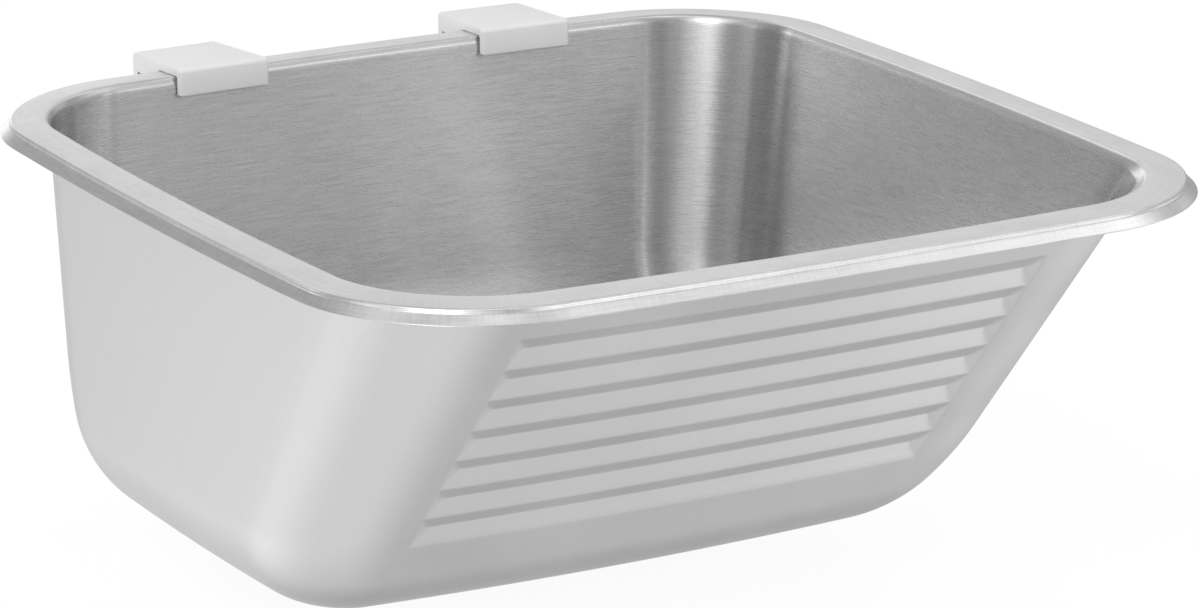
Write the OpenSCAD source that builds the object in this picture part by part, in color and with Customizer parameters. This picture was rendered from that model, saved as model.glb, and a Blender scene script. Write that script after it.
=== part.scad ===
// Inset sink with a washboard front wall, two rim hooks and a short waste.
// Millimetres. +X right, +Y to the rear rim that carries the hooks, +Z up.
// The origin is the centre of the rim, in the plane of the lip's lower edge:
// the plane in which the sink rests on the trough or cut-out that holds it.

/* [Rim] */
// Half width of the rim at the lip's lower edge, without the side bow
rim_a = 194; // [190:1:200]
// Half depth of the rim at the lip's lower edge, without the end bows
rim_b = 196; // [190:1:200]
// Front half depth of the rim at the lip's lower edge, which is bowed less than
// the bowl's opening
rim_bf = 199.8; // [197:0.2:201]
// Outward bow of the lip's front edge at its middle
bow_lip = 3.9; // [3:0.1:6]
// Corner radius of the rim at the front
rim_rf = 71; // [60:1:80]
// Corner radius of the rim at the rear
rim_rr = 69; // [60:1:80]
// Outward bow of the opening's front edge at its middle
bow_front = 7.4; // [4:0.2:9]
// Outward bow of the rear edge at its middle
bow_rear = 7.6; // [4:0.2:9]
// Outward bow of each side edge at its middle
bow_side = 6.3; // [4:0.1:8]
// Distance from the lip's lower edge in to the bowl opening
rim_w = 20.4; // [19:0.2:24]
// Horizontal reach of the stepped and flared lip
lip_flare = 3.8; // [3.2:0.1:5]
// Height of the folded lip
lip_h = 6.2; // [5:0.1:8]
// Fall of the flange from the bowl's opening out to the lip
flange_fall = 0.6; // [0.3:0.1:1]
// Thickness of the sheet
sheet_t = 1; // [0.8:0.1:1.2]

/* [Bowl] */
// Depth from the flange's top to the underside of the floor
bowl_h = 177; // [170:1:185]
// Half width of the side walls' planes at the floor
side_low = 163.2; // [158:0.2:168]
// Rear wall's plane at the floor
rear_low = 173.8; // [168:0.2:176]
// Slope of the front wall, horizontal run over drop
front_run = 0.8433; // [0.8:0.01:0.88]
// Vertical corner radius near the floor, front and rear
corner_low = 39; // [34:1:46]
// Bottom radius along the sides
fillet_side = 48.7; // [40:0.1:55]
// Bottom radius along the rear
fillet_rear = 75.8; // [60:0.2:80]
// Bottom radius along the front
fillet_front = 22.4; // [18:0.2:30]

/* [Washboard] */
// Number of steps pressed in the front wall
step_n = 7; // [5:1:7]
// Drop from the flange's top to the first step
step_z0 = 25.5; // [24:0.5:30]
// Drop from one step to the next
step_pitch = 15.65; // [14:0.05:16]
// Share of each step taken by its undercut face
step_under = 0.365; // [0.3:0.005:0.45]
// Depth of each step, measured level
step_d = 2.6; // [1.5:0.1:3.5]
// Half length of the steps
step_x = 118.5; // [100:0.5:119]
// Length of the sloped end of each step
step_end = 7; // [4:0.5:12]

/* [Hooks] */
// Width of a hook at its front lip
hook_w = 43.4; // [38:0.2:48]
// Width of a hook at its rear
hook_w_rear = 40.4; // [36:0.2:43]
// Depth of a hook, front to rear
hook_d = 47.4; // [44:0.2:50]
// Height of the hook's top above the flange, at the front
hook_t = 4.1; // [3.6:0.1:5]
// Fall of the hook's top from front to rear
hook_fall = 2.2; // [0:0.1:2.4]
// Distance of the left hook from the middle of the rim
hook_left_x = 76; // [60:1:90]
// Distance of the right hook from the middle of the rim
hook_right_x = 71; // [60:1:90]
// Thickness of the front lip inside the bowl
hook_lip = 2.8; // [2.4:0.1:3]
// Bottom of the front lip below the flange's top
hook_lip_h = 8.2; // [7:0.1:10]
// Width of the slot for the trough's rear edge
slot_w = 14; // [12:0.2:15]
// Depth of the slot below the seat plane
slot_d = 11; // [8:0.5:14]

/* [Waste] */
// Position of the waste behind the rim's centre
waste_y = 60; // [56:1:62]
// Radius of the outlet thread
thread_r = 23.9; // [20.9:0.1:24]
// Radius of the waste's flange
flange_r = 32; // [30:0.5:33]
// Depth of the pressed well that the flange sits in
well_d = 2.4; // [2:0.1:3]
// Bore of the outlet
throat_r = 19; // [16:0.5:19.5]

/* [Hidden] */
$fn = 96;

steel = [0.74, 0.75, 0.76];
plastic = [0.86, 0.86, 0.85];
rubber = [0.12, 0.12, 0.13];

// Points on the ring that goes round the bowl, counted per stretch
n_arc = 7;
n_side = 6;
n_rear = 6;

function lerp(p, q, t) = p + (q - p) * t;
function flat(l) = [for (a = l) for (b = a) b];

// One level ring, as a rounded rectangle with bowed sides.
// a: half width; yf, yr: front and rear; rf, rr: corner radii
function ring(a, yf, yr, rf, rr, sf, sr, sy) =
    let (b = (yr - yf) / 2, yc = (yr + yf) / 2,
         xf = a - rf,
         q = min(1, (xf - 3) / step_x),
         fx = [-xf, -step_x * q, (-step_x + step_end) * q, -74 * q, -37 * q, 0,
               37 * q, 74 * q, (step_x - step_end) * q, step_x * q],
         raw = concat(
             [for (x = fx) [x, -b]],
             [for (i = [0 : n_arc - 1])
                 let (t = 90 * i / n_arc)
                 [xf + rf * sin(t), -b + rf - rf * cos(t)]],
             [for (i = [0 : n_side - 1]) [a, lerp(-b + rf, b - rr, i / n_side)]],
             [for (i = [0 : n_arc - 1])
                 let (t = 90 * i / n_arc)
                 [a - rr + rr * cos(t), b - rr + rr * sin(t)]],
             [for (i = [0 : n_rear - 1]) [lerp(a - rr, -a + rr, i / n_rear), b]],
             [for (i = [0 : n_arc - 1])
                 let (t = 90 * i / n_arc)
                 [-a + rr - rr * sin(t), b - rr + rr * cos(t)]],
             [for (i = [0 : n_side - 1]) [-a, lerp(b - rr, -b + rf, i / n_side)]],
             [for (i = [0 : n_arc - 1])
                 let (t = 90 * i / n_arc)
                 [-xf - rf * cos(t), -b + rf - rf * sin(t)]]))
    [for (p = raw)
        [p[0] + sy * (p[0] / a) * (1 - pow(p[1] / b, 2)),
         yc + p[1] + (p[1] < 0 ? sf : sr) * (p[1] / b) * (1 - pow(p[0] / a, 2))]];

// Ring at an offset in from the lip's lower edge
function rim_ring(o) =
    let (t = min(1, o / rim_w))
    ring(rim_a - o, -(lerp(rim_bf, rim_b, t) - o), rim_b - o, rim_rf - o,
         rim_rr - o, lerp(bow_lip, bow_front, t), bow_rear, bow_side);

// Inset of a bottom radius r at the drop d; s is 0 outside, 1 inside the sheet
function round_in(r, d, s) =
    let (u = d - (bowl_h - r), q = r - s * sheet_t)
    u <= 0 ? 0 : q - sqrt(max(q * q - u * u, 0));

// Depth of the washboard's steps at the drop d
function step_at(d) =
    let (k = (d - step_z0) / step_pitch, f = k - floor(k))
    (k < -0.0001 || k > step_n - 0.0001) ? 0
    : (f < step_under ? f / step_under : (1 - f) / (1 - step_under)) * step_d;

// Ring of the wall at the drop d; s is 0 outside and 1 inside the sheet
function wall_ring(d, s) =
    let (t = d / bowl_h,
         wb = rim_w - sheet_t,
         es = round_in(fillet_side, d, s), er = round_in(fillet_rear, d, s),
         ef = round_in(fillet_front, d, s),
         a = lerp(rim_a - wb, side_low, t) - es - s * sheet_t,
         yf = -(rim_b - wb) + front_run * d + ef + s * sheet_t * 1.3,
         yr = lerp(rim_b - wb, rear_low, t) - er - s * sheet_t,
         rf = max(lerp(rim_rf - wb, corner_low, t) - (es + ef) / 2 - s * sheet_t, 5),
         rr = max(lerp(rim_rr - wb, corner_low, t) - (es + er) / 2 - s * sheet_t, 5),
         g = ring(a, yf, yr, rf, rr, lerp(bow_front, 6.9, t),
                  lerp(bow_rear, 9.7, t), lerp(bow_side, 1.8, t)),
         dd = step_at(d))
    [for (i = [0 : len(g) - 1])
        g[i] + [0, (i >= 2 && i <= 8) ? dd : 0]];

function at(g, z) = [for (p = g) [p[0], p[1], z]];

// Drops at which the wall has a ring: each edge of the steps, then the radii
step_rows = flat([for (k = [0 : step_n - 1])
    [step_z0 + k * step_pitch, step_z0 + (k + step_under) * step_pitch]]);
low_rows = [step_z0 + step_n * step_pitch, 143, 150, 156, 161.5, 166, 170, 173.2, 175.5];
wall_rows = concat([3.4, 12], step_rows, low_rows);

module skin(rings) {
    m = len(rings[0]);
    k = len(rings);
    polyhedron(
        points = flat(rings),
        faces = concat(
            [[for (i = [m - 1 : -1 : 0]) i]],
            [[for (i = [0 : m - 1]) (k - 1) * m + i]],
            flat([for (j = [0 : k - 2]) flat([for (i = [0 : m - 1])
                let (p = j * m + i, q = j * m + (i + 1) % m)
                [[p, q, p + m], [q, q + m, p + m]]])])),
        convexity = 8);
}

// The whole drawn sheet: inside floor, up the wall, over the rim, down the lip,
// back under the flange, down the outside to the floor's underside
module sheet() {
    z0 = lip_h;
    inside = [for (j = [len(wall_rows) - 1 : -1 : 0])
        let (d = wall_rows[j],
             e = d - sheet_t * max(0, (d - 150) / (bowl_h - 150)))
        at(wall_ring(e, 1), z0 - e)];
    outside = [for (d = wall_rows) at(wall_ring(d, 0), z0 - d)];
    w = rim_w;
    f = lip_flare;
    s = flange_fall;
    top = [for (p = [[w - 0.2, 1.5], [w - 1, 0.45], [w - 2.8, 0], [f + 0.9, s],
                     [f + 0.2, s + 0.3], [f - 0.05, s + 0.95],
                     [f - 0.25, s + 1.6], [f - 0.6, s + 2.15], [0, lip_h]])
        at(rim_ring(p[0]), z0 - p[1])];
    under = [for (p = [[1.3, lip_h], [f + 0.25, s + 2.75], [f + 0.75, s + 2],
                       [f + 0.95, s + 1.3], [f + 1.7, s + 1], [w - 3, 1],
                       [w - 1.4, 1.5]])
        at(rim_ring(p[0]), z0 - p[1])];
    floor_in = at(wall_ring(bowl_h - sheet_t, 1), z0 - bowl_h + sheet_t);
    floor_out = at(wall_ring(bowl_h, 0), z0 - bowl_h);
    skin(concat([floor_in], inside, top, under, outside, [floor_out]));
}

floor_z = lip_h - bowl_h;

module bowl() {
    color(steel)
    difference() {
        union() {
            sheet();
            // underside of the pressed well
            translate([0, waste_y, floor_z - well_d])
                cylinder(h = well_d + 0.5, r1 = flange_r + 2.4, r2 = flange_r + 4.2);
        }
        translate([0, waste_y, floor_z + sheet_t - well_d])
            cylinder(h = well_d + 1, r1 = flange_r + 1.4, r2 = flange_r + 3.9);
        translate([0, waste_y, floor_z - 10])
            cylinder(h = 20, r = thread_r + 0.5);
    }
}

// A hook slides along the bowed rim on an arc about a far centre in front
slide_r = 2100;
// Front of the hook's rear block, behind the front lip's face
hook_blk = hook_d - slot_w - 8.8;
// Distance from the far centre to the front lip's face, which keeps the block
// 0.4 mm behind the rim's edge
hook_reach = sqrt(pow(73.5, 2) + pow(slide_r + rim_b
    + bow_rear * (1 - pow(73.5 / rim_a, 2)) + 0.4 - hook_blk, 2));

// Section of a hook, in its own plane: x to the rear, y up from the flange's top.
// Its underside follows the rim's flared lip at a small clearance.
module hook_section() {
    r = 1.8;
    e = hook_blk - 0.4;
    f = lip_flare;
    s = flange_fall;
    rear = hook_t - hook_fall;
    difference() {
        polygon(concat(
            [[0.9, -hook_lip_h], [hook_lip - 0.5, -hook_lip_h],
             [hook_lip, -hook_lip_h + 0.6], [hook_lip, -2],
             [hook_lip + 0.3, -0.7], [hook_lip + 1, 0.15],
             [e - rim_w + 2.8, 0.15], [e - f - 0.9, 0.15 - s],
             [e - f + 0.1, -0.05 - s], [e - f + 0.42, -0.85 - s],
             [e - f + 0.62, -1.5 - s], [e - f + 0.95, -2 - s],
             [e + 0.31, -lip_h + 0.25], [hook_blk, -lip_h - 0.3],
             [hook_blk, -lip_h - slot_d + 1],
             [hook_blk + 0.8, -lip_h - slot_d], [hook_d - 0.9, -lip_h - slot_d],
             [hook_d, -lip_h - slot_d + 0.9]],
            [for (i = [0 : 5]) let (t = 17.5 * i)
                [hook_d - r + r * cos(t), rear - r + r * sin(t)]],
            [for (i = [0 : 5]) let (t = 87.5 + 18.5 * i)
                [r + r * cos(t), hook_t - r + r * sin(t)]],
            [[0, -hook_lip_h + 0.9]]));
        translate([hook_blk + 2.8, -lip_h - slot_d - 1])
            square([slot_w, slot_d + 1]);
    }
}

// Plan of a hook, a little narrower at the rear
module hook_plan() {
    a = hook_w / 2;
    b = hook_w_rear / 2;
    c = 0.8;
    polygon([[-a + c, 0], [a - c, 0], [a, c], [b, hook_d - c], [b - c, hook_d],
             [-b + c, hook_d], [-b, hook_d - c], [-a, c]]);
}

module hook(x) {
    color(plastic)
    translate([0, -slide_r, lip_h])
    rotate([0, 0, -asin(x / hook_reach)])
    translate([0, hook_reach, 0])
    intersection() {
        rotate([90, 0, 90]) translate([0, 0, -hook_w / 2])
            linear_extrude(height = hook_w) hook_section();
        translate([0, 0, -lip_h - slot_d - 1])
            linear_extrude(height = 40) hook_plan();
    }
}

module hook_left() { hook(-hook_left_x); }
module hook_right() { hook(hook_right_x); }

// Waste: the flange lies on its seal in the well, the thread hangs below
well_z = floor_z + sheet_t - well_d;
seal_t = 1.4;
stem_end = floor_z - 16;
nut_h = 5;
nut_z = floor_z - well_d - 2 - nut_h;

module waste_flange() {
    color(steel)
    translate([0, waste_y, 0]) {
        rotate_extrude()
            polygon([[throat_r, stem_end], [thread_r - 0.8, stem_end],
                     [thread_r, stem_end + 0.8], [thread_r, nut_z - 0.8],
                     [thread_r - 0.8, nut_z - 0.6], [thread_r - 0.8, nut_z - 0.2],
                     [thread_r, nut_z], [thread_r, well_z + seal_t],
                     [flange_r, well_z + seal_t], [flange_r, well_z + seal_t + 0.5],
                     [flange_r - 0.6, well_z + seal_t + 1],
                     [thread_r - 1, well_z + seal_t + 1],
                     [throat_r + 1.4, well_z - 3.5], [throat_r, well_z - 4.5]]);
        // cross grid at the foot of the throat
        intersection() {
            translate([0, 0, well_z - 7.6]) cylinder(h = 2, r = throat_r + 1);
            union() for (q = [0, 90]) rotate([0, 0, q])
                translate([-throat_r - 1, -1.2, well_z - 7.6])
                    cube([2 * throat_r + 2, 2.4, 2]);
        }
    }
}

module washer(r_in, r_out, z, t) {
    translate([0, waste_y, z]) difference() {
        cylinder(h = t, r = r_out);
        translate([0, 0, -1]) cylinder(h = t + 2, r = r_in);
    }
}

module upper_seal() {
    color(rubber) washer(thread_r + 0.2, flange_r - 0.8, well_z, seal_t);
}

module lower_seal() {
    color(rubber) washer(thread_r + 0.2, 30, floor_z - well_d - 2, 2);
}

module back_nut() {
    color(plastic)
    translate([0, waste_y, nut_z]) difference() {
        union() {
            cylinder(h = nut_h, r = 28.2);
            translate([0, 0, nut_h - 1.4]) cylinder(h = 1.4, r = 29.6);
            for (i = [0 : 11]) rotate([0, 0, 30 * i])
                translate([27, -1.4, 0]) cube([2.4, 2.8, nut_h - 0.8]);
        }
        translate([0, 0, -1]) cylinder(h = 8, r = thread_r + 0.05);
    }
}

// Rubber plug, a tapered stopper with a moulded eye, seated in the throat
plug_z = well_z + seal_t + 1.3;
eye_z = plug_z + 6.6;

module plug() {
    color(rubber)
    translate([0, waste_y, 0]) difference() {
        union() {
            rotate_extrude()
                polygon([[0, plug_z - 5.4], [throat_r + 0.6, plug_z - 5.4],
                         [throat_r + 1.2, plug_z - 4.6],
                         [thread_r - 1.6, plug_z - 0.12], [thread_r + 1.6, plug_z],
                         [thread_r + 1.6, plug_z + 1.6], [thread_r, plug_z + 2.4],
                         [8, plug_z + 2.4], [6.5, plug_z + 3.2], [0, plug_z + 3.2]]);
            translate([-2.2, 0, eye_z]) rotate([0, 90, 0]) cylinder(h = 4.4, r = 4);
            translate([-2.2, -4, plug_z + 2]) cube([4.4, 8, eye_z - plug_z - 2]);
        }
        translate([-5, 0, eye_z]) rotate([0, 90, 0]) cylinder(h = 10, r = 2);
    }
}

// Pull ring, lying forward over the plug
module plug_ring() {
    color(steel)
    translate([0, waste_y, eye_z])
    rotate([6, 0, 0])
    translate([0, -9, 0])
    rotate_extrude() translate([9, 0]) circle(r = 1.1, $fn = 24);
}

bowl();
hook_left();
hook_right();
waste_flange();
upper_seal();
lower_seal();
back_nut();
plug();
plug_ring();
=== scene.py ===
import bpy
import math
import numpy as np
from mathutils import Vector, Matrix


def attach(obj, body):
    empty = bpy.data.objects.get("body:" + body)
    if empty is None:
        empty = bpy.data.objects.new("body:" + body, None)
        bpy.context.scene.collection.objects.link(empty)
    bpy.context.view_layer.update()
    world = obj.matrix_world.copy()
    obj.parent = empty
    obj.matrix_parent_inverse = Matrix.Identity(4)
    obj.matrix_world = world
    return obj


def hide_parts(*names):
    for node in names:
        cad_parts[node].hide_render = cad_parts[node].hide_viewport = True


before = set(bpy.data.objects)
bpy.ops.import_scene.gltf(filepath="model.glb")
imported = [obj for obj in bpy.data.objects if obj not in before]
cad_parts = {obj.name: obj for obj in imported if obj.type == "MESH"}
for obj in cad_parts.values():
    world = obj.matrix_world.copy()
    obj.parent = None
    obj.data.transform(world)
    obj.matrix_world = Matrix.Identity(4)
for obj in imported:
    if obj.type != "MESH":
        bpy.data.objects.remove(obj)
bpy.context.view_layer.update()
MM = 0.001
scene = bpy.context.scene

# ---------------------------------------------------------------- camera
AZ, EL, DIST = math.radians(-29.73), math.radians(16.23), 2.2608
TARGET = Vector((-0.01292, -0.03399, -0.0520))
back = Vector((math.sin(AZ) * math.cos(EL), -math.cos(AZ) * math.cos(EL), math.sin(EL)))
cam_data = bpy.data.cameras.new("camera")
cam_data.lens = 168.26
cam_data.sensor_width = 36.0
cam_data.sensor_fit = "HORIZONTAL"
cam_data.clip_start, cam_data.clip_end = 0.05, 50
cam = bpy.data.objects.new("camera", cam_data)
scene.collection.objects.link(cam)
cam.location = TARGET + back * DIST
cam.rotation_mode = "QUATERNION"
cam.rotation_quaternion = (-back).to_track_quat("-Z", "Y")
scene.camera = cam
scene.view_settings.view_transform = "Standard"
scene.view_settings.look = "None"
scene.view_settings.exposure = 0.0
scene.view_settings.gamma = 1.0

# ---------------------------------------------------------------- sizes, as in the CAD source (mm)
RIM_A, RIM_B, RIM_RF, RIM_RR = 194.0, 196.0, 71.0, 69.0
BOW_F, BOW_R, BOW_S = 7.4, 7.6, 6.3
RIM_BF, BOW_LIP = 199.8, 3.9
RIM_W, FLARE, LIP_H, SHEET, FALL = 20.4, 3.8, 6.2, 1.0, 0.6
BOWL_H, SIDE_LOW, REAR_LOW, RUN, CORNER_LOW = 177.0, 163.2, 173.8, 0.8433, 39.0
FIL_S, FIL_R, FIL_F = 48.7, 75.8, 22.4
ST_N, ST_Z0, ST_P, ST_U, ST_D, ST_X, ST_E = 7, 25.5, 15.65, 0.365, 2.6, 118.5, 7.0
HOOK_W, HOOK_W_REAR, HOOK_D, HOOK_T, HOOK_FALL = 43.4, 40.4, 47.4, 4.1, 2.2
HOOK_LEFT_X, HOOK_RIGHT_X, SLIDE_R = -76.0, 71.0, 2100.0
HOOK_LIP, HOOK_LIP_H, SLOT_W, SLOT_D = 2.8, 8.2, 14.0, 11.0
HOOK_BLK = HOOK_D - SLOT_W - 8.8
HOOK_REACH = math.hypot(73.5, SLIDE_R + RIM_B + BOW_R * (1 - (73.5 / RIM_A) ** 2) + 0.4 - HOOK_BLK)
WASTE_Y, THREAD_R, FLANGE_R, WELL_D, THROAT_R = 60.0, 23.9, 32.0, 2.4, 19.0
FLOOR_Z = LIP_H - BOWL_H
WELL_Z = FLOOR_Z + SHEET - WELL_D
SEAL_T = 1.4
STEM_END = FLOOR_Z - 16
NUT_H = 5.0
NUT_Z = FLOOR_Z - WELL_D - 2 - NUT_H
PLUG_Z = WELL_Z + SEAL_T + 1.3
EYE_Z = PLUG_Z + 6.6


def lerp(p, q, t):
    return p + (q - p) * t


def softmin(a, b, k):
    return 0.5 * (a + b - np.sqrt((a - b) ** 2 + k * k))


def softmax(a, b, k):
    return 0.5 * (a + b + np.sqrt((a - b) ** 2 + k * k))


# ---------------------------------------------------------------- mesh helpers
def mesh_object(name, verts, faces, smooth=True):
    me = bpy.data.meshes.new(name)
    me.from_pydata([tuple(v) for v in verts], [], faces)
    me.validate()
    me.update()
    ob = bpy.data.objects.new(name, me)
    scene.collection.objects.link(ob)
    if smooth:
        me.polygons.foreach_set("use_smooth", [True] * len(me.polygons))
    return ob


def apply_modifiers(ob):
    dg = bpy.context.evaluated_depsgraph_get()
    ev = ob.evaluated_get(dg)
    me = bpy.data.meshes.new_from_object(ev, preserve_all_data_layers=True, depsgraph=dg)
    old = ob.data
    ob.modifiers.clear()
    ob.data = me
    me.name = ob.name
    bpy.data.meshes.remove(old)
    return ob


def arc(cx, cy, r, a0, a1, n):
    return [(cx + r * math.cos(math.radians(lerp(a0, a1, i / n))),
             cy + r * math.sin(math.radians(lerp(a0, a1, i / n)))) for i in range(n + 1)]


def rounded(points, radii, n=5):
    """A polygon with each corner replaced by an arc of its own radius."""
    out = []
    m = len(points)
    for i in range(m):
        p, q, s = Vector(points[i - 1]), Vector(points[i]), Vector(points[(i + 1) % m])
        r = radii[i] if isinstance(radii, (list, tuple)) else radii
        a, b = (p - q), (s - q)
        la, lb = a.length, b.length
        a, b = a / la, b / lb
        cosv = max(-1.0, min(1.0, a.dot(b)))
        ang = math.acos(cosv)
        if r <= 1e-6 or abs(math.pi - ang) < 0.02:
            out.append(tuple(q))
            continue
        t = min(r / math.tan(ang / 2), 0.48 * la, 0.48 * lb)
        r = t * math.tan(ang / 2)
        c = q + (a + b).normalized() * (r / math.sin(ang / 2))
        v0, v1 = (q + a * t) - c, (q + b * t) - c
        a0, a1 = math.atan2(v0.y, v0.x), math.atan2(v1.y, v1.x)
        d = (a1 - a0 + math.pi) % (2 * math.pi) - math.pi
        for k in range(n + 1):
            th = a0 + d * k / n
            out.append((c.x + r * math.cos(th), c.y + r * math.sin(th)))
    return out


def lathe(name, profile, seg=144, cx=0.0, cy=0.0, closed=True):
    """Turns a closed (r, z) section in mm round the vertical axis at cx, cy."""
    verts, faces, axis = [], [], {}
    m = len(profile)
    for j, (r, z) in enumerate(profile):
        if r < 1e-6:
            axis[j] = len(verts)
            verts.append((cx * MM, cy * MM, z * MM))
        else:
            axis[j] = None
            for i in range(seg):
                t = 2 * math.pi * i / seg
                verts.append(((cx + r * math.cos(t)) * MM, (cy + r * math.sin(t)) * MM, z * MM))
    start, at = [], 0
    for j in range(m):
        start.append(at)
        at += 1 if axis[j] is not None else seg
    last = m if closed else m - 1
    for j in range(last):
        k = (j + 1) % m
        ja, ka = axis[j] is not None, axis[k] is not None
        if ja and ka:
            continue
        for i in range(seg):
            i2 = (i + 1) % seg
            if ja:
                faces.append((start[j], start[k] + i2, start[k] + i))
            elif ka:
                faces.append((start[j] + i, start[j] + i2, start[k]))
            else:
                faces.append((start[j] + i, start[j] + i2, start[k] + i2, start[k] + i))
    return mesh_object(name, verts, faces)


def outward(ob):
    import bmesh
    bm = bmesh.new()
    bm.from_mesh(ob.data)
    bmesh.ops.remove_doubles(bm, verts=bm.verts, dist=1e-7)
    bmesh.ops.recalc_face_normals(bm, faces=bm.faces)
    bm.to_mesh(ob.data)
    bm.free()
    ob.data.update()
    return ob


def join(name, parts):
    import bmesh
    bm = bmesh.new()
    for p in parts:
        bm.from_mesh(p.data)
    me = bpy.data.meshes.new(name)
    bm.to_mesh(me)
    bm.free()
    ob = bpy.data.objects.new(name, me)
    scene.collection.objects.link(ob)
    for p in parts:
        old = p.data
        bpy.data.objects.remove(p)
        bpy.data.meshes.remove(old)
    return ob


def smooth_by_angle(ob, deg):
    me = ob.data
    me.polygons.foreach_set("use_smooth", [True] * len(me.polygons))
    me.set_sharp_from_angle(angle=math.radians(deg))


def box_mesh(name, lo, hi):
    x0, y0, z0 = (v * MM for v in lo)
    x1, y1, z1 = (v * MM for v in hi)
    v = [(x0, y0, z0), (x1, y0, z0), (x1, y1, z0), (x0, y1, z0),
         (x0, y0, z1), (x1, y0, z1), (x1, y1, z1), (x0, y1, z1)]
    f = [(0, 3, 2, 1), (4, 5, 6, 7), (0, 1, 5, 4), (1, 2, 6, 5), (2, 3, 7, 6), (3, 0, 4, 7)]
    return mesh_object(name, v, f, smooth=False)


def bevelled(ob, width, segments=4, angle=30):
    b = ob.modifiers.new("bevel", "BEVEL")
    b.width = width * MM
    b.segments = segments
    b.limit_method = "ANGLE"
    b.angle_limit = math.radians(angle)
    b.harden_normals = False
    apply_modifiers(ob)
    return ob


# ---------------------------------------------------------------- node helpers
class Nodes:
    """Short-hand for building a node tree."""

    def __init__(self, tree):
        self.t = tree
        self.x = -1800

    def add(self, kind, **settings):
        n = self.t.nodes.new(kind)
        n.location = (self.x, 0)
        self.x += 40
        for k, v in settings.items():
            setattr(n, k, v)
        return n

    def link(self, a, b):
        self.t.links.new(a, b)

    def put(self, socket, value):
        if isinstance(value, bpy.types.NodeSocket):
            self.link(value, socket)
        else:
            socket.default_value = value

    def math(self, op, a, b=0.0, c=None, clamp=False):
        n = self.add("ShaderNodeMath", operation=op, use_clamp=clamp)
        self.put(n.inputs[0], a)
        self.put(n.inputs[1], b)
        if c is not None:
            self.put(n.inputs[2], c)
        return n.outputs[0]

    def ramp(self, value, lo, hi, to_lo=0.0, to_hi=1.0, mode="SMOOTHSTEP"):
        n = self.add("ShaderNodeMapRange", interpolation_type=mode)
        n.clamp = True
        self.put(n.inputs[0], value)
        self.put(n.inputs[1], lo)
        self.put(n.inputs[2], hi)
        self.put(n.inputs[3], to_lo)
        self.put(n.inputs[4], to_hi)
        return n.outputs[0]

    def scale(self, vector, sx, sy, sz):
        n = self.add("ShaderNodeMapping")
        self.link(vector, n.inputs["Vector"])
        n.inputs["Scale"].default_value = (sx, sy, sz)
        return n.outputs[0]

    def noise(self, vector, scale, detail=2.0, rough=0.5, distort=0.0, dims="3D"):
        n = self.add("ShaderNodeTexNoise", noise_dimensions=dims)
        self.link(vector, n.inputs["Vector"])
        n.inputs["Scale"].default_value = scale
        n.inputs["Detail"].default_value = detail
        n.inputs["Roughness"].default_value = rough
        n.inputs["Distortion"].default_value = distort
        return n.outputs[0]

    def mix(self, fac, a, b):
        n = self.add("ShaderNodeMix", data_type="RGBA")
        self.put(n.inputs[0], fac)
        self.put(n.inputs[6], a)
        self.put(n.inputs[7], b)
        return n.outputs[2]

    def bump(self, height, strength, distance, normal=None):
        n = self.add("ShaderNodeBump")
        n.inputs["Strength"].default_value = strength
        n.inputs["Distance"].default_value = distance
        self.link(height, n.inputs["Height"])
        if normal is not None:
            self.link(normal, n.inputs["Normal"])
        return n.outputs[0]


def material(name):
    m = bpy.data.materials.new(name)
    m.use_nodes = True
    m.node_tree.nodes.clear()
    k = Nodes(m.node_tree)
    out = k.add("ShaderNodeOutputMaterial")
    b = k.add("ShaderNodeBsdfPrincipled")
    k.link(b.outputs[0], out.inputs[0])
    return m, k, b


def grey(v, tint=(1.0, 1.0, 1.0)):
    return (v * tint[0], v * tint[1], v * tint[2], 1.0)


STEEL_TINT = (1.0, 1.0, 1.0)


def brushed_inside():
    """Fine lines brushed level round the bowl."""
    m, k, b = material("steel_brushed_inside")
    uv = k.add("ShaderNodeUVMap", uv_map="drawn").outputs[0]
    long_lines = k.noise(k.scale(uv, 34, 1500, 1), 1.0, 1.0, 0.5)
    fine_lines = k.noise(k.scale(uv, 68, 2100, 1), 1.0, 1.0, 0.5)
    broad = k.noise(k.scale(uv, 14, 240, 1), 1.0, 2.0, 0.5)
    lines = k.math("ADD", k.math("MULTIPLY", long_lines, 0.55), k.math("MULTIPLY", fine_lines, 0.45))
    tone = k.math("ADD", k.math("MULTIPLY", lines, 0.84), k.math("MULTIPLY", broad, 0.16))
    fac = k.ramp(tone, 0.22, 0.78, 0.0, 1.0, "LINEAR")
    k.link(k.mix(fac, grey(0.555), grey(0.745)), b.inputs["Base Color"])
    k.link(k.ramp(lines, 0.25, 0.75, 0.24, 0.31, "LINEAR"), b.inputs["Roughness"])
    b.inputs["Metallic"].default_value = 1.0
    b.inputs["Anisotropic"].default_value = 1.0
    b.inputs["Anisotropic Rotation"].default_value = 0.25
    tan = k.add("ShaderNodeTangent", direction_type="UV_MAP", uv_map="drawn").outputs[0]
    k.link(tan, b.inputs["Tangent"])
    k.link(k.bump(lines, 0.04, 0.00002), b.inputs["Normal"])
    return m


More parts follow.
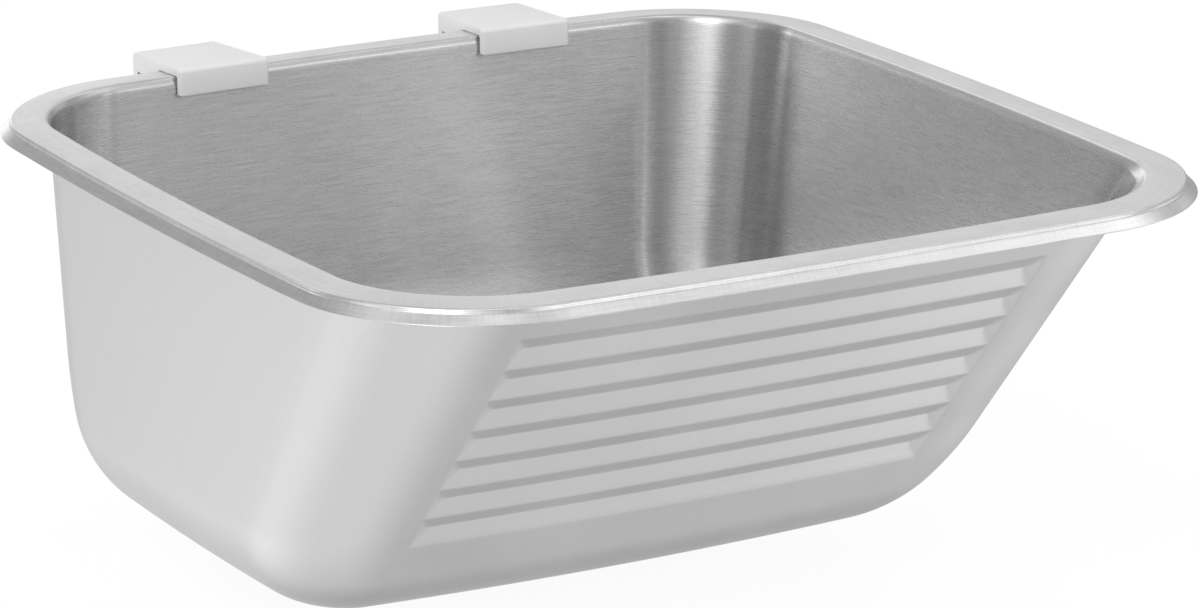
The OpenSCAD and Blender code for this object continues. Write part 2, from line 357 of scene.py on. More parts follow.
def satin_rim():
    """The flange and lip, ground across the edge."""
    m, k, b = material("steel_satin_rim")
    uv = k.add("ShaderNodeUVMap", uv_map="drawn").outputs[0]
    cross = k.noise(k.scale(uv, 1100, 110, 1), 1.0, 1.0, 0.5)
    along = k.noise(k.scale(uv, 70, 1300, 1), 1.0, 1.0, 0.5)
    cloud = k.noise(k.scale(uv, 30, 60, 1), 1.0, 2.0, 0.5)
    lines = k.math("ADD", k.math("MULTIPLY", cross, 0.45), k.math("MULTIPLY", along, 0.55))
    fac = k.ramp(k.math("ADD", k.math("MULTIPLY", lines, 0.7), k.math("MULTIPLY", cloud, 0.3)), 0.35, 0.65, 0, 1, "LINEAR")
    k.link(k.mix(fac, grey(0.70), grey(0.86)), b.inputs["Base Color"])
    k.link(k.ramp(lines, 0.25, 0.75, 0.28, 0.33, "LINEAR"), b.inputs["Roughness"])
    b.inputs["Metallic"].default_value = 1.0
    k.link(k.bump(lines, 0.05, 0.00002), b.inputs["Normal"])
    return m


def satin_outside():
    """The outside of the drawn sheet: matt, with faint drawing marks."""
    m, k, b = material("steel_satin_outside")
    uv = k.add("ShaderNodeUVMap", uv_map="drawn").outputs[0]
    down = k.noise(k.scale(uv, 1100, 40, 1), 1.0, 2.0, 0.5)
    geo = k.add("ShaderNodeTexCoord").outputs["Object"]
    grain = k.noise(geo, 2600, 2.0, 0.6)
    cloud = k.noise(geo, 16, 3.0, 0.55)
    mixv = k.math("ADD", k.math("MULTIPLY", down, 0.35), k.math("MULTIPLY", grain, 0.65))
    fac = k.ramp(k.math("ADD", k.math("MULTIPLY", mixv, 0.6), k.math("MULTIPLY", cloud, 0.4)), 0.35, 0.65, 0, 1, "LINEAR")
    k.link(k.mix(fac, grey(0.73), grey(0.79)), b.inputs["Base Color"])
    k.link(k.ramp(cloud, 0.3, 0.7, 0.34, 0.40, "LINEAR"), b.inputs["Roughness"])
    b.inputs["Metallic"].default_value = 1.0
    k.link(k.bump(mixv, 0.05, 0.00002), b.inputs["Normal"])
    return m


def polished(name, base=0.80, rough=0.10):
    m, k, b = material(name)
    geo = k.add("ShaderNodeTexCoord").outputs["Object"]
    fine = k.noise(geo, 900, 3.0, 0.6)
    cloud = k.noise(geo, 60, 3.0, 0.6)
    k.link(k.mix(k.ramp(cloud, 0.35, 0.65, 0, 1, "LINEAR"), grey(base - 0.04), grey(base + 0.02)), b.inputs["Base Color"])
    k.link(k.ramp(fine, 0.35, 0.7, rough, rough + 0.08, "LINEAR"), b.inputs["Roughness"])
    b.inputs["Metallic"].default_value = 1.0
    k.link(k.bump(fine, 0.05, 0.00002), b.inputs["Normal"])
    return m


def plastic(name, base, rough=0.42, warm=(1.0, 1.0, 0.995)):
    m, k, b = material(name)
    geo = k.add("ShaderNodeTexCoord").outputs["Object"]
    grain = k.noise(geo, 3400, 2.0, 0.6)
    cloud = k.noise(geo, 45, 3.0, 0.55)
    k.link(k.mix(k.ramp(cloud, 0.3, 0.7, 0, 1, "LINEAR"), grey(base - 0.012, warm), grey(base + 0.012, warm)), b.inputs["Base Color"])
    k.link(k.ramp(grain, 0.3, 0.7, rough - 0.05, rough + 0.07, "LINEAR"), b.inputs["Roughness"])
    b.inputs["Specular IOR Level"].default_value = 0.5
    b.inputs["Subsurface Weight"].default_value = 0.06
    b.inputs["Subsurface Radius"].default_value = (0.002, 0.002, 0.002)
    b.inputs["Subsurface Scale"].default_value = 0.5
    k.link(k.bump(grain, 0.12, 0.00004), b.inputs["Normal"])
    return m


def rubber(name, base=0.028):
    m, k, b = material(name)
    geo = k.add("ShaderNodeTexCoord").outputs["Object"]
    grain = k.noise(geo, 2200, 3.0, 0.6)
    bloom = k.noise(geo, 70, 4.0, 0.6)
    k.link(k.mix(k.ramp(bloom, 0.35, 0.7, 0, 1, "LINEAR"), grey(base), grey(base * 2.0)), b.inputs["Base Color"])
    k.link(k.ramp(bloom, 0.3, 0.7, 0.48, 0.66, "LINEAR"), b.inputs["Roughness"])
    b.inputs["Specular IOR Level"].default_value = 0.42
    k.link(k.bump(grain, 0.22, 0.00005), b.inputs["Normal"])
    return m


M_IN, M_RIM, M_OUT = brushed_inside(), satin_rim(), satin_outside()
M_POL, M_WIRE = polished("steel_polished"), polished("steel_wire", 0.78, 0.14)
M_HOOK, M_NUT = plastic("hook_plastic", 0.92, 0.30), plastic("nut_plastic", 0.74, 0.5)
M_RUB, M_SEAL = rubber("plug_rubber"), rubber("seal_rubber", 0.022)

# ---------------------------------------------------------------- bowl
N_ARC, N_SIDE, N_REAR = 28, 22, 22
END_X = [118.5 - 0.55 * i for i in range(19)]          # dense where the steps end
MID_X = [106.0 - 11.8 * i for i in range(1, 9)]
HALF_X = [118.5 + 0.0] + END_X[1:] + [104.0] + [92.0, 80.0, 68.0, 56.0, 44.0, 32.0, 20.0, 8.0]
FRONT_X = [-x for x in HALF_X] + [x for x in reversed(HALF_X)]


def step_depth(d):
    """Depth of the pressed steps at the drop d, with a soft ridge and a crisp valley."""
    v = np.full_like(np.asarray(d, float), -50.0)
    for k in range(ST_N):
        d0 = ST_Z0 + k * ST_P
        up = (d - d0) / (ST_U * ST_P) * ST_D
        down = (d0 + ST_P - d) / ((1 - ST_U) * ST_P) * ST_D
        v = softmax(v, softmin(up, down, 0.10), 0.34) if k else softmin(up, down, 0.10)
    lastk = ST_Z0 + ST_N * ST_P
    k_end = np.where(d > lastk - 4, 0.55, 0.26)
    return np.maximum(softmax(v, 0.0, k_end) - k_end * 0.5, 0.0)


def ring(a, yf, yr, rf, rr, sf, sr, sy, depth=0.0):
    b, yc = (yr - yf) / 2, (yr + yf) / 2
    xf = a - rf
    q = min(1.0, (xf - 3) / ST_X)
    pts, dep = [], []
    for t in (1.0, 0.5):
        pts.append((-lerp(ST_X * q, xf, t), -b))
        dep.append(0.0)
    for x in FRONT_X:
        pts.append((x * q, -b))
        e = ST_D / ST_E * (ST_X - abs(x))
        v = float(softmin(depth, e, 0.12)) if depth > 0 else 0.0
        dep.append(max(v, 0.0))
    pts.append((lerp(ST_X * q, xf, 0.5), -b))
    dep.append(0.0)
    for i in range(N_ARC):
        t = math.radians(90 * i / N_ARC)
        pts.append((xf + rf * math.sin(t), -b + rf - rf * math.cos(t)))
    for i in range(N_SIDE):
        pts.append((a, lerp(-b + rf, b - rr, i / N_SIDE)))
    for i in range(N_ARC):
        t = math.radians(90 * i / N_ARC)
        pts.append((a - rr + rr * math.cos(t), b - rr + rr * math.sin(t)))
    for i in range(N_REAR):
        pts.append((lerp(a - rr, -a + rr, i / N_REAR), b))
    for i in range(N_ARC):
        t = math.radians(90 * i / N_ARC)
        pts.append((-a + rr - rr * math.sin(t), b - rr + rr * math.cos(t)))
    for i in range(N_SIDE):
        pts.append((-a, lerp(b - rr, -b + rf, i / N_SIDE)))
    for i in range(1, N_ARC):
        t = math.radians(90 * i / N_ARC)
        pts.append((-a + rf - rf * math.cos(t), -b + rf - rf * math.sin(t)))
    p = np.array(pts)
    dep = np.array(dep + [0.0] * (len(pts) - len(dep)))
    x = p[:, 0] + sy * (p[:, 0] / a) * (1 - (p[:, 1] / b) ** 2)
    y = yc + p[:, 1] + np.where(p[:, 1] < 0, sf, sr) * (p[:, 1] / b) * (1 - (p[:, 0] / a) ** 2)
    return np.stack([x, y + dep], 1)


def rim_ring(o):
    t = min(1.0, o / RIM_W)
    return ring(RIM_A - o, -(lerp(RIM_BF, RIM_B, t) - o), RIM_B - o, RIM_RF - o, RIM_RR - o, lerp(BOW_LIP, BOW_F, t), BOW_R, BOW_S)


def round_in(r, d, s):
    u, q = d - (BOWL_H - r), r - s * SHEET
    return 0.0 if u <= 0 else q - math.sqrt(max(q * q - u * u, 0.0))


def wall_ring(d, s):
    t = d / BOWL_H
    wb = RIM_W - SHEET
    es, er, ef = round_in(FIL_S, d, s), round_in(FIL_R, d, s), round_in(FIL_F, d, s)
    a = lerp(RIM_A - wb, SIDE_LOW, t) - es - s * SHEET
    yf = -(RIM_B - wb) + RUN * d + ef + s * SHEET * 1.3
    yr = lerp(RIM_B - wb, REAR_LOW, t) - er - s * SHEET
    rf = max(lerp(RIM_RF - wb, CORNER_LOW, t) - (es + ef) / 2 - s * SHEET, 5)
    rr = max(lerp(RIM_RR - wb, CORNER_LOW, t) - (es + er) / 2 - s * SHEET, 5)
    return ring(a, yf, yr, rf, rr, lerp(BOW_F, 6.9, t), lerp(BOW_R, 9.7, t), lerp(BOW_S, 1.8, t),
                float(step_depth(np.float64(d))))


def wall_drops():
    rows = [4.6, 6.5, 9.0, 12.0, 16.0, 20.0, 22.5]
    for k in range(ST_N):
        r0 = ST_Z0 + k * ST_P
        v0 = r0 + ST_U * ST_P
        rows += [r0 - 1.3, r0 - 0.7, r0 - 0.3, r0, r0 + 0.3, r0 + 0.7, r0 + 1.3, (r0 + v0) / 2,
                 v0 - 0.9, v0 - 0.35, v0 - 0.12, v0 + 0.12, v0 + 0.35, v0 + 0.9, v0 + 3.0, v0 + 5.6]
    r0 = ST_Z0 + ST_N * ST_P
    rows += [r0 - 3.0, r0 - 2.0, r0 - 1.2, r0 - 0.6, r0, r0 + 0.6, r0 + 1.3, r0 + 2.2, r0 + 3.4, r0 + 5.0,
             142.5, 145.5, 148.5, 151.5, 154.0]
    rows += [BOWL_H - h for h in (20.6, 18.4, 16.2, 14.1, 12.1, 10.2, 8.4, 6.8, 5.4, 4.1, 3.0, 2.1, 1.35, 0.78, 0.36, 0.1)]
    return sorted(rows)


def z_of(points, z):
    return np.column_stack([points, np.full(len(points), z)])


DROPS = wall_drops()
rows, part = [], []          # part: 0 inside, 1 rim, 2 outside


def circle_row(r, z, angles):
    return np.column_stack([r * np.cos(angles), WASTE_Y + r * np.sin(angles), np.full(len(angles), z)])


in_floor = wall_ring(BOWL_H - SHEET, 1)
out_floor = wall_ring(BOWL_H, 0)
ang = np.unwrap(np.arctan2(in_floor[:, 1] - WASTE_Y, in_floor[:, 0]))


def add(row, kind):
    rows.append(row)
    part.append(kind)


# inside: hole, well, floor, wall
zi, zo = FLOOR_Z + SHEET, FLOOR_Z
HOLE_R = THREAD_R + 0.5
add(circle_row(HOLE_R, WELL_Z - 0.12, ang), 0)
add(circle_row(HOLE_R + 0.12, WELL_Z, ang), 0)
for r in (28.0, 31.5, 32.7):
    add(circle_row(r, WELL_Z, ang), 0)
for r, z in ((33.3, WELL_Z + 0.12), (33.75, WELL_Z + 0.5), (34.3, WELL_Z + 1.1), (34.9, WELL_Z + 1.75),
             (35.4, zi - 0.2), (36.0, zi - 0.03), (36.9, zi)):
    add(circle_row(r, z, ang), 0)
base = circle_row(36.9, zi, ang)
edge = z_of(in_floor, zi)
for t in (0.12, 0.28, 0.45, 0.62, 0.78, 0.9, 1.0):
    add(base * (1 - t) + edge * t, 0)
for d in reversed(DROPS):
    e = d - SHEET * max(0.0, (d - 150) / (BOWL_H - 150))
    add(z_of(wall_ring(e, 1), LIP_H - e), 0)
# inner edge of the rim: an elliptical turn from the wall to the flat flange
wall_top = wall_ring(3.4, 1)
inner_o = RIM_W - 0.1
for i in range(0, 13):
    t = math.radians(90 * i / 12)
    o = inner_o - 3.3 * (1 - math.cos(t))
    z = 3.4 * (1 - math.sin(t))
    g = rim_ring(o)
    if i < 4:
        w = (4 - i) / 4.0
        g = g * (1 - w) + wall_ring(max(z, 0.0), 1) * w
    add(z_of(g, LIP_H - z), 0 if i < 7 else 1)
for o in (15.8, 14.6, 13.0, 11.0, 9.0, 7.0, 5.6):
    q = min(1.0, (16.4 - o) / (16.4 - FLARE - 1.0))
    add(z_of(rim_ring(o), LIP_H - FALL * q ** 1.25), 1)
# outer edge: a crisp turn, a short step down, then the flare to the lip's lower edge
STEEP, FLAT_OUT = math.radians(78), math.radians(46)
o, dz = FLARE + 1.0, FALL
edge_out = []
for i in range(0, 9):
    t = STEEP * i / 8
    edge_out.append((o - 1.0 * math.sin(t), dz + 1.0 * (1 - math.cos(t))))
o, dz = edge_out[-1]
for i in range(1, 3):
    edge_out.append((o - 0.375 * i * math.cos(STEEP), dz + 0.375 * i * math.sin(STEEP)))
o, dz = edge_out[-1]
for i in range(1, 6):
    t = lerp(STEEP, FLAT_OUT, i / 5)
    edge_out.append((o - 1.0 * (math.sin(STEEP) - math.sin(t)), dz + 1.0 * (math.cos(t) - math.cos(STEEP))))
o, dz = edge_out[-1]
for t in (0.2, 0.45, 0.7, 0.9, 1.0):
    edge_out.append((lerp(o, 0.14, t), lerp(dz, 5.98, t)))
for q in edge_out:
    add(z_of(rim_ring(q[0]), LIP_H - q[1]), 1)
for o, dz in ((0.10, 6.06), (0.20, 6.16), (0.40, 6.2), (1.05, 6.2), (1.25, 6.15), (1.42, 6.0), (2.2, 5.25), (3.2, 4.23), (3.9, 3.52),
              (4.35, 3.05), (4.62, 2.6), (4.85, 2.15), (5.25, 1.78), (6.2, 1.62), (8.5, 1.45), (11.0, 1.28), (14.0, 1.1), (16.6, 1.0),
              (17.9, 1.12), (18.7, 1.5)):
    add(z_of(rim_ring(o), LIP_H - dz), 1 if dz > 5.9 else 2)
g0, w0 = rim_ring(19.15), wall_ring(2.2, 0)
add(z_of(g0 * 0.5 + w0 * 0.5, LIP_H - 2.2), 2)
add(z_of(wall_ring(3.2, 0), LIP_H - 3.2), 2)
for d in DROPS:
    add(z_of(wall_ring(d, 0), LIP_H - d), 2)
edge = z_of(out_floor, zo)
base = circle_row(37.4, zo, ang)
for t in (0.0, 0.1, 0.22, 0.38, 0.55, 0.72, 0.88):
    add(edge * (1 - t) + base * t, 2)
for r, z in ((37.4, zo), (36.6, zo - 0.05), (36.1, zo - 0.3), (35.6, zo - 0.9), (34.9, zo - 1.8), (34.5, zo - 2.2), (33.9, zo - 2.4),
             (31.0, zo - 2.4), (27.0, zo - 2.4), (HOLE_R + 0.12, zo - 2.4), (HOLE_R, zo - 2.28)):
    add(circle_row(r, z, ang), 2)

R = np.array(rows)                       # rows x stations x 3
nr, ns = R.shape[0], R.shape[1]
verts = (R.reshape(-1, 3) * MM)
faces, kinds = [], []
for j in range(nr):
    j2 = (j + 1) % nr
    kind = part[j] if j2 else 2
    for i in range(ns):
        i2 = (i + 1) % ns
        faces.append((j * ns + i, j2 * ns + i, j2 * ns + i2, j * ns + i2))
        kinds.append(kind)
bowl = mesh_object("sink_bowl", verts, faces)
me = bowl.data
# lengths along the ring and along the section, for the grain of the metal
ref = rim_ring(14.0)
seg = np.linalg.norm(np.roll(ref, -1, 0) - ref, axis=1)
u_at = np.concatenate([[0.0], np.cumsum(seg)]) * MM
mid = N_SIDE // 2 + 2 + len(FRONT_X) + 1 + N_ARC
sec = np.linalg.norm(np.roll(R, -1, 0)[:, mid] - R[:, mid], axis=1)
v_at = np.concatenate([[0.0], np.cumsum(sec)]) * MM
uvl = me.uv_layers.new(name="drawn")
uvs = np.zeros((len(faces), 4, 2))
for j in range(nr):
    v0, v1 = v_at[j], v_at[j + 1]
    blk = uvs[j * ns:(j + 1) * ns]
    blk[:, 0:2, 0] = u_at[:-1, None]
    blk[:, 2:4, 0] = u_at[1:, None]
    blk[:, (0, 3), 1] = v0
    blk[:, (1, 2), 1] = v1
assert len(me.polygons) == len(faces)
uvl.data.foreach_set("uv", uvs.reshape(-1).astype(np.float32))
for m in (M_IN, M_RIM, M_OUT):
    me.materials.append(m)
me.polygons.foreach_set("material_index", kinds)
me.update()
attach(bowl, "sink")
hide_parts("bowl")


# ---------------------------------------------------------------- hooks
def hook(x0, name, node, body):
    """A moulded rim hook: its section swept over its width, with rounded ends and a slightly tapered plan."""
    blk, e, f, s, rear = HOOK_BLK, HOOK_BLK - 0.4, FLARE, FALL, HOOK_T - HOOK_FALL
    low = -LIP_H - SLOT_D
    s0, s1 = blk + 2.8, blk + 2.8 + SLOT_W
    # (y, z, corner radius, how much of the end's rounding the point takes)
    pts = [(0, -HOOK_LIP_H, 0.9, 1), (HOOK_LIP, -HOOK_LIP_H, 0.6, 0.3), (HOOK_LIP, 0.15, 1.1, 0.3), (e - RIM_W + 2.8, 0.15, 0.4, 0.1),
           (e - f - 0.9, 0.15 - s, 0.3, 0.1), (e - f + 0.1, -0.05 - s, 0.3, 0.1), (e - f + 0.42, -0.85 - s, 0.3, 0.1),
           (e - f + 0.62, -1.5 - s, 0.3, 0.1), (e - f + 0.95, -2.0 - s, 0.4, 0.1),
           (e + 0.31, -LIP_H + 0.25, 0.5, 0.1), (blk, -LIP_H - 0.3, 0.3, 0.3), (blk, low, 0.9, 0.3), (s0, low, 0.5, 0.3), (s0, -LIP_H, 0.8, 0.3),
           (s1, -LIP_H, 0.8, 0.3), (s1, low, 0.5, 0.3), (HOOK_D, low, 0.9, 1), (HOOK_D, rear, 1.9, 1), (0, HOOK_T, 1.9, 1)]
    sec, share = [], []
    for i, q in enumerate(pts):
        # the rounded corner of this point alone, found from its two neighbours
        p, n = pts[i - 1], pts[(i + 1) % len(pts)]
        tri = rounded([p[:2], q[:2], n[:2]], [0, q[2], 0], 7 if q[2] > 1.5 else 4)
        for v in tri[1:-1]:
            sec.append(v)
            share.append(q[3])
    P, share = np.array(sec), np.array(share)
    n = len(sec)
    nxt, prv = np.roll(P, -1, 0), np.roll(P, 1, 0)
    e1, e2 = nxt - P, P - prv
    n1 = np.column_stack([-e1[:, 1], e1[:, 0]]) / np.linalg.norm(e1, axis=1)[:, None]
    n2 = np.column_stack([-e2[:, 1], e2[:, 0]]) / np.linalg.norm(e2, axis=1)[:, None]
    inn = n1 + n2
    inn /= np.linalg.norm(inn, axis=1)[:, None]
    r_end = 1.7
    ends = []
    for i in range(8):
        t = math.radians(90 * i / 7)
        ends.append((r_end * (1 - math.sin(t)), r_end * (1 - math.cos(t))))
    stations = [(-1, x, v) for x, v in reversed(ends)] + [(1, x, v) for x, v in ends]
    verts, faces = [], []
    for sign, inset, shrink in stations:
        Q = P + inn * (shrink * share)[:, None]
        for y, z in Q:
            half = lerp(HOOK_W, HOOK_W_REAR, min(max(y / HOOK_D, 0), 1)) / 2
            verts.append((sign * (half - inset) * MM, y * MM, z * MM))
    m = len(stations)
    for j in range(m - 1):
        for i in range(n):
            i2 = (i + 1) % n
            faces.append((j * n + i, j * n + i2, (j + 1) * n + i2, (j + 1) * n + i))
    faces.append(tuple(reversed(range(n))))
    faces.append(tuple((m - 1) * n + i for i in range(n)))
    ob = mesh_object(name, verts, faces)
    outward(ob)
    turn = -math.asin(x0 / HOOK_REACH)
    ob.data.transform(Matrix.Translation((0, -SLIDE_R * MM, LIP_H * MM)) @ Matrix.Rotation(turn, 4, "Z") @ Matrix.Translation((0, HOOK_REACH * MM, 0)))
    smooth_by_angle(ob, 35)
    ob.data.materials.append(M_HOOK)
    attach(ob, body)
    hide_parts(node)
    return ob


hook(HOOK_LEFT_X, "rim_hook_left", "hook_left", "left_hook")
hook(HOOK_RIGHT_X, "rim_hook_right", "hook_right", "right_hook")

# ---------------------------------------------------------------- waste
wz = WELL_Z + SEAL_T
flange_sec = rounded(
    [(THROAT_R, STEM_END), (THREAD_R - 0.9, STEM_END), (THREAD_R - 0.9, NUT_Z), (THREAD_R - 0.02, NUT_Z), (THREAD_R - 0.02, wz),
     (FLANGE_R, wz), (FLANGE_R, wz + 1.0), (THREAD_R - 1, wz + 1.0), (THROAT_R + 1.4, WELL_Z - 3.5), (THROAT_R, WELL_Z - 4.5)],
    [0.3, 0.3, 0.0, 0.2, 0.0, 0.15, 0.6, 1.4, 1.0, 0.6], 6)
body = lathe("waste_body", flange_sec, 192, 0, WASTE_Y)


def thread(name, r_root, r_crest, z0, z1, pitch, seg=144, rows_per=10):
    """A true helical thread as a closed sleeve that runs out at both ends."""
    n = int(round((z1 - z0) / pitch * rows_per))
    verts, faces = [], []
    for j in range(n + 1):
        z = lerp(z0, z1, j / n)
        fade = min(1.0, (z - z0) / 0.7, (z1 - z) / 0.7)
        fade = max(0.0, fade)
        for i in range(seg):
            t = i / seg
            f = ((z - z0) / pitch - t) % 1.0
            h = 1 - abs(2 * f - 1)
            h = min(max((h - 0.12) / 0.76, 0), 1)
            r = lerp(r_root, r_crest, h * fade)
            a = 2 * math.pi * t
            verts.append((r * math.cos(a) * MM, (WASTE_Y + r * math.sin(a)) * MM, z * MM))
    for j in range(n):
        for i in range(seg):
            i2 = (i + 1) % seg
            faces.append((j * seg + i, j * seg + i2, (j + 1) * seg + i2, (j + 1) * seg + i))
    # closed inside, just within the stem's wall
    k = len(verts)
    r_in = THREAD_R - 1.6
    for z in (z0, z1):
        for i in range(seg):
            a = 2 * math.pi * i / seg
            verts.append((r_in * math.cos(a) * MM, (WASTE_Y + r_in * math.sin(a)) * MM, z * MM))
    for i in range(seg):
        i2 = (i + 1) % seg
        faces.append((i, k + i, k + i2, i2))
        faces.append((n * seg + i, n * seg + i2, k + seg + i2, k + seg + i))
        faces.append((k + i, k + seg + i, k + seg + i2, k + i2))
    return mesh_object(name, verts, faces)


coil = thread("waste_thread", THREAD_R - 0.75, THREAD_R, STEM_END + 0.25, NUT_Z - 0.75, 2.309)
grid_parts = [body, coil]
for q in (0, 90):
    bar = box_mesh("bar", (-THROAT_R - 0.6, -1.2, WELL_Z - 7.6), (THROAT_R + 0.6, 1.2, WELL_Z - 5.6))
    bar.data.transform(Matrix.Translation((0, WASTE_Y * MM, 0)) @ Matrix.Rotation(math.radians(q), 4, "Z"))
    bevelled(bar, 0.45, 3)
    grid_parts.append(bar)
waste = join("waste_outlet", grid_parts)
smooth_by_angle(waste, 32)
waste.data.materials.append(M_POL)
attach(waste, "sink")
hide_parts("waste_flange")

seal_u = lathe("flange_seal", rounded([(THREAD_R + 0.2, WELL_Z), (FLANGE_R - 0.8, WELL_Z), (FLANGE_R - 0.8, wz), (THREAD_R + 0.2, wz)], 0.35, 5), 144, 0, WASTE_Y)
seal_l = lathe("under_seal", rounded([(THREAD_R + 0.2, FLOOR_Z - WELL_D - 2), (30.0, FLOOR_Z - WELL_D - 2), (30.0, FLOOR_Z - WELL_D), (THREAD_R + 0.2, FLOOR_Z - WELL_D)], 0.6, 6), 144, 0, WASTE_Y)
for ob, node in ((seal_u, "upper_seal"), (seal_l, "lower_seal")):
    outward(ob)
    smooth_by_angle(ob, 40)
    ob.data.materials.append(M_SEAL)
    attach(ob, "sink")
    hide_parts(node)

nut_sec = rounded([(THREAD_R + 0.05, NUT_Z), (28.2, NUT_Z), (28.2, NUT_Z + NUT_H - 1.4), (29.6, NUT_Z + NUT_H - 1.4),
                   (29.6, NUT_Z + NUT_H), (THREAD_R + 0.05, NUT_Z + NUT_H)], [0.5, 0.6, 0.5, 0.4, 0.4, 0.3], 5)
nut_parts = [lathe("nut_body", nut_sec, 144, 0, WASTE_Y)]
for i in range(12):
    rib = box_mesh("rib", (26.6, -1.4, NUT_Z + 0.02), (29.4, 1.4, NUT_Z + NUT_H - 0.9))
    rib.data.transform(Matrix.Translation((0, WASTE_Y * MM, 0)) @ Matrix.Rotation(math.radians(30 * i), 4, "Z"))
    bevelled(rib, 0.5, 3)
    nut_parts.append(rib)
nut = join("waste_nut", nut_parts)
smooth_by_angle(nut, 35)
nut.data.materials.append(M_NUT)
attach(nut, "sink")
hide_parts("back_nut")

# ---------------------------------------------------------------- plug and ring
plug_sec = rounded(
    [(0, PLUG_Z - 5.4), (THROAT_R + 0.6, PLUG_Z - 5.4), (THROAT_R + 1.2, PLUG_Z - 4.6), (THREAD_R - 1.6, PLUG_Z - 0.12),
     (THREAD_R + 1.6, PLUG_Z), (THREAD_R + 1.6, PLUG_Z + 1.6), (THREAD_R, PLUG_Z + 2.4), (8, PLUG_Z + 2.4), (6.5, PLUG_Z + 3.2), (0, PLUG_Z + 3.2)],
    [0, 0.8, 0.5, 0.5, 0.3, 0.7, 0.8, 1.2, 1.2, 0], 6)
plug_body = lathe("plug_body", plug_sec, 144, 0, WASTE_Y)
# lug with a round hole: outline and hole as one ring of quads, then both sides
seg_l = 48
lug_v, lug_f = [], []
outer, inner = [], []
for i in range(seg_l):
    t = 2 * math.pi * i / seg_l
    y, z = 4.0 * math.cos(t), 4.0 * math.sin(t)
    if z < 0:                                   # straight cheeks below the eye
        y = 4.0 * (1 if math.cos(t) >= 0 else -1) * min(1.0, abs(math.cos(t)) * 1.6)
        z = -(EYE_Z - PLUG_Z - 2.0) * min(1.0, abs(math.sin(t)) * 1.15)
    outer.append((y, z))
    inner.append((2.0 * math.cos(t), 2.0 * math.sin(t)))
sections = [(-2.2, 0.45), (-2.05, 0.15), (-1.75, 0.0), (1.75, 0.0), (2.05, 0.15), (2.2, 0.45)]
for x, s in sections:
    for y, z in outer:
        l = math.hypot(y, z)
        f = (l - s) / l
        lug_v.append((x * MM, (WASTE_Y + y * f) * MM, (EYE_Z + z * f) * MM))
for x, s in sections:
    for y, z in inner:
        f = (2.0 + s) / 2.0
        lug_v.append((x * MM, (WASTE_Y + y * f) * MM, (EYE_Z + z * f) * MM))
m = len(sections)
for j in range(m - 1):
    for i in range(seg_l):
        i2 = (i + 1) % seg_l
        lug_f.append((j * seg_l + i, j * seg_l + i2, (j + 1) * seg_l + i2, (j + 1) * seg_l + i))
        o = m * seg_l
        lug_f.append((o + j * seg_l + i, o + (j + 1) * seg_l + i, o + (j + 1) * seg_l + i2, o + j * seg_l + i2))
for j in (0, m - 1):
    for i in range(seg_l):
        i2 = (i + 1) % seg_l
        lug_f.append((j * seg_l + i, j * seg_l + i2, m * seg_l + j * seg_l + i2, m * seg_l + j * seg_l + i))
lug = outward(mesh_object("plug_lug", lug_v, lug_f))
plug = join("drain_plug", [outward(plug_body), lug])
smooth_by_angle(plug, 38)
plug.data.materials.append(M_RUB)
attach(plug, "plug")
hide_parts("plug")

RING_R, WIRE_R, n1, n2 = 9.0, 1.1, 128, 24
tv, tf = [], []
for i in range(n1):
    t = 2 * math.pi * i / n1
    for j in range(n2):
        s = 2 * math.pi * j / n2
        r = RING_R + WIRE_R * math.cos(s)
        tv.append((r * math.cos(t) * MM, r * math.sin(t) * MM, WIRE_R * math.sin(s) * MM))
for i in range(n1):
    for j in range(n2):
        i2, j2 = (i + 1) % n1, (j + 1) % n2
        tf.append((i * n2 + j, i2 * n2 + j, i2 * n2 + j2, i * n2 + j2))
wire = mesh_object("pull_ring", tv, tf)
wire.data.transform(Matrix.Translation((0, WASTE_Y * MM, EYE_Z * MM)) @ Matrix.Rotation(math.radians(6), 4, "X") @ Matrix.Translation((0, -9 * MM, 0)))
wire.data.materials.append(M_WIRE)
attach(wire, "pull_ring")
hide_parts("plug_ring")

# ---------------------------------------------------------------- stage and light
# A pale floor that curves up into the backdrop. Only the camera sees it; what the steel mirrors is set by the studio below.
floor_z = STEM_END * MM - 0.0002
cyc = [(0.0, 0.0), (1.0, 0.0), (5.0, 0.0), (14.0, 0.0)] + [(14.0 + 8.0 * math.sin(math.radians(a)), 8.0 - 8.0 * math.cos(math.radians(a))) for a in range(10, 91, 10)] + [(22.0, 30.0)]
floor = lathe("floor", [(r / MM, z / MM + floor_z / MM) for r, z in cyc], 96, closed=False)
fm, fn, fb = material("floor_paper")
fb.inputs["Base Color"].default_value = (0.17, 0.17, 0.17, 1)
fb.inputs["Roughness"].default_value = 1.0
fb.inputs["Specular IOR Level"].default_value = 0.0
fb.inputs["Emission Color"].default_value = (1, 1, 1, 1)
fb.inputs["Emission Strength"].default_value = 0.88
floor.data.materials.append(fm)
for flag in ("visible_glossy", "visible_diffuse", "visible_transmission", "visible_shadow", "visible_volume_scatter"):
    setattr(floor, flag, False)

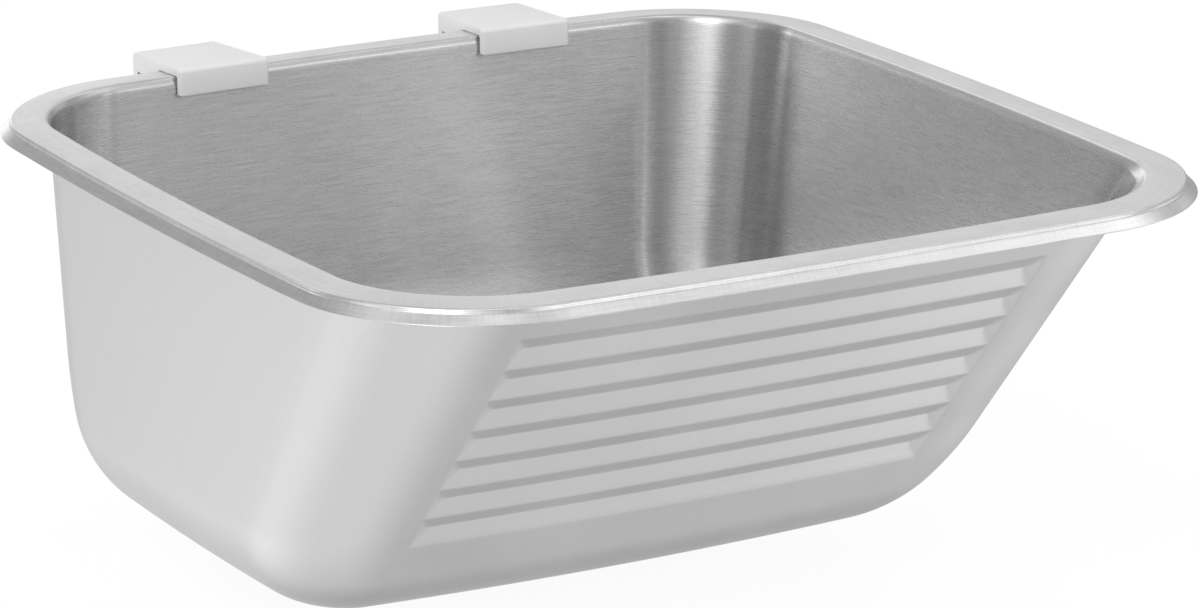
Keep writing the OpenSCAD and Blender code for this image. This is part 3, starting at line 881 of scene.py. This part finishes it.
# The studio: soft lobes of light round the object. Each is (azimuth, elevation, half-width, strength) with
# azimuth 0 behind the sink (+Y) and 90 to its right (+X), all in degrees.
STUDIO_BASE = 0.345
STUDIO = [
    (-129, 44, 10, 4.2), (-127, -4, 10, 4.2), (-144, -4, 10, 2.2), (-162, 7, 4.5, 0.9), (-128, 16, 7, 3.2),          # soft boxes, left and front
    (-103, 52, 10, 1.2), (-92, -4, 10, 1.4), (-90, 19, 7, 0.9), (-55, 60, 10, 0.6), (-43, 17, 6, 2.7),           # left and behind
    (154, 20, 10, 2.2), (135, 7, 4.5, 2.6), (103, 52, 10, 1.45), (108, 84, 10, 1.7), (100, 36, 10, 0.6),          # right
    (171, 7, 4.5, 1.2), (168, 38, 10, 0.5), (12, 4, 10, 1.3), (4, 38, 10, 1.0), (56, 44, 10, 0.6), (66, 20, 7, 0.55), (34, 20, 10, 0.6),   # front and behind
    (100, -22, 18, 1.7), (-32, -23, 17, 0.56), (15, -22, 18, 0.38), (-45, -50, 18, 0.80),                         # off the table
    (120, -50, 18, 0.15), (92, -40, 12, 0.6), (-90, -78, 18, 0.18), (180, -78, 18, 0.55),
]
world = bpy.data.worlds.new("studio")
scene.world = world
world.use_nodes = True


def set_world(base, lobes):
    wt = world.node_tree
    wt.nodes.clear()
    w = Nodes(wt)
    out = w.add("ShaderNodeOutputWorld")
    bg = w.add("ShaderNodeBackground")
    w.link(bg.outputs[0], out.inputs[0])
    direction = w.add("ShaderNodeTexCoord").outputs["Generated"]
    total = None
    for az, el, half, value in lobes:
        a, e = math.radians(az), math.radians(el)
        n = w.add("ShaderNodeVectorMath", operation="DOT_PRODUCT")
        w.link(direction, n.inputs[0])
        n.inputs[1].default_value = (math.sin(a) * math.cos(e), math.cos(a) * math.cos(e), math.sin(e))
        k = math.log(2) / (1 - math.cos(math.radians(half)))
        g = w.math("MULTIPLY_ADD", n.outputs["Value"], k, -k)
        g = w.math("MULTIPLY", w.math("EXPONENT", g), value)
        total = g if total is None else w.math("ADD", total, g)
    total = w.math("MAXIMUM", w.math("ADD", total if total is not None else 0.0, base), 0.0)
    w.link(total, bg.inputs["Strength"])
    bg.inputs["Color"].default_value = (1, 1, 1, 1)


set_world(STUDIO_BASE, STUDIO)
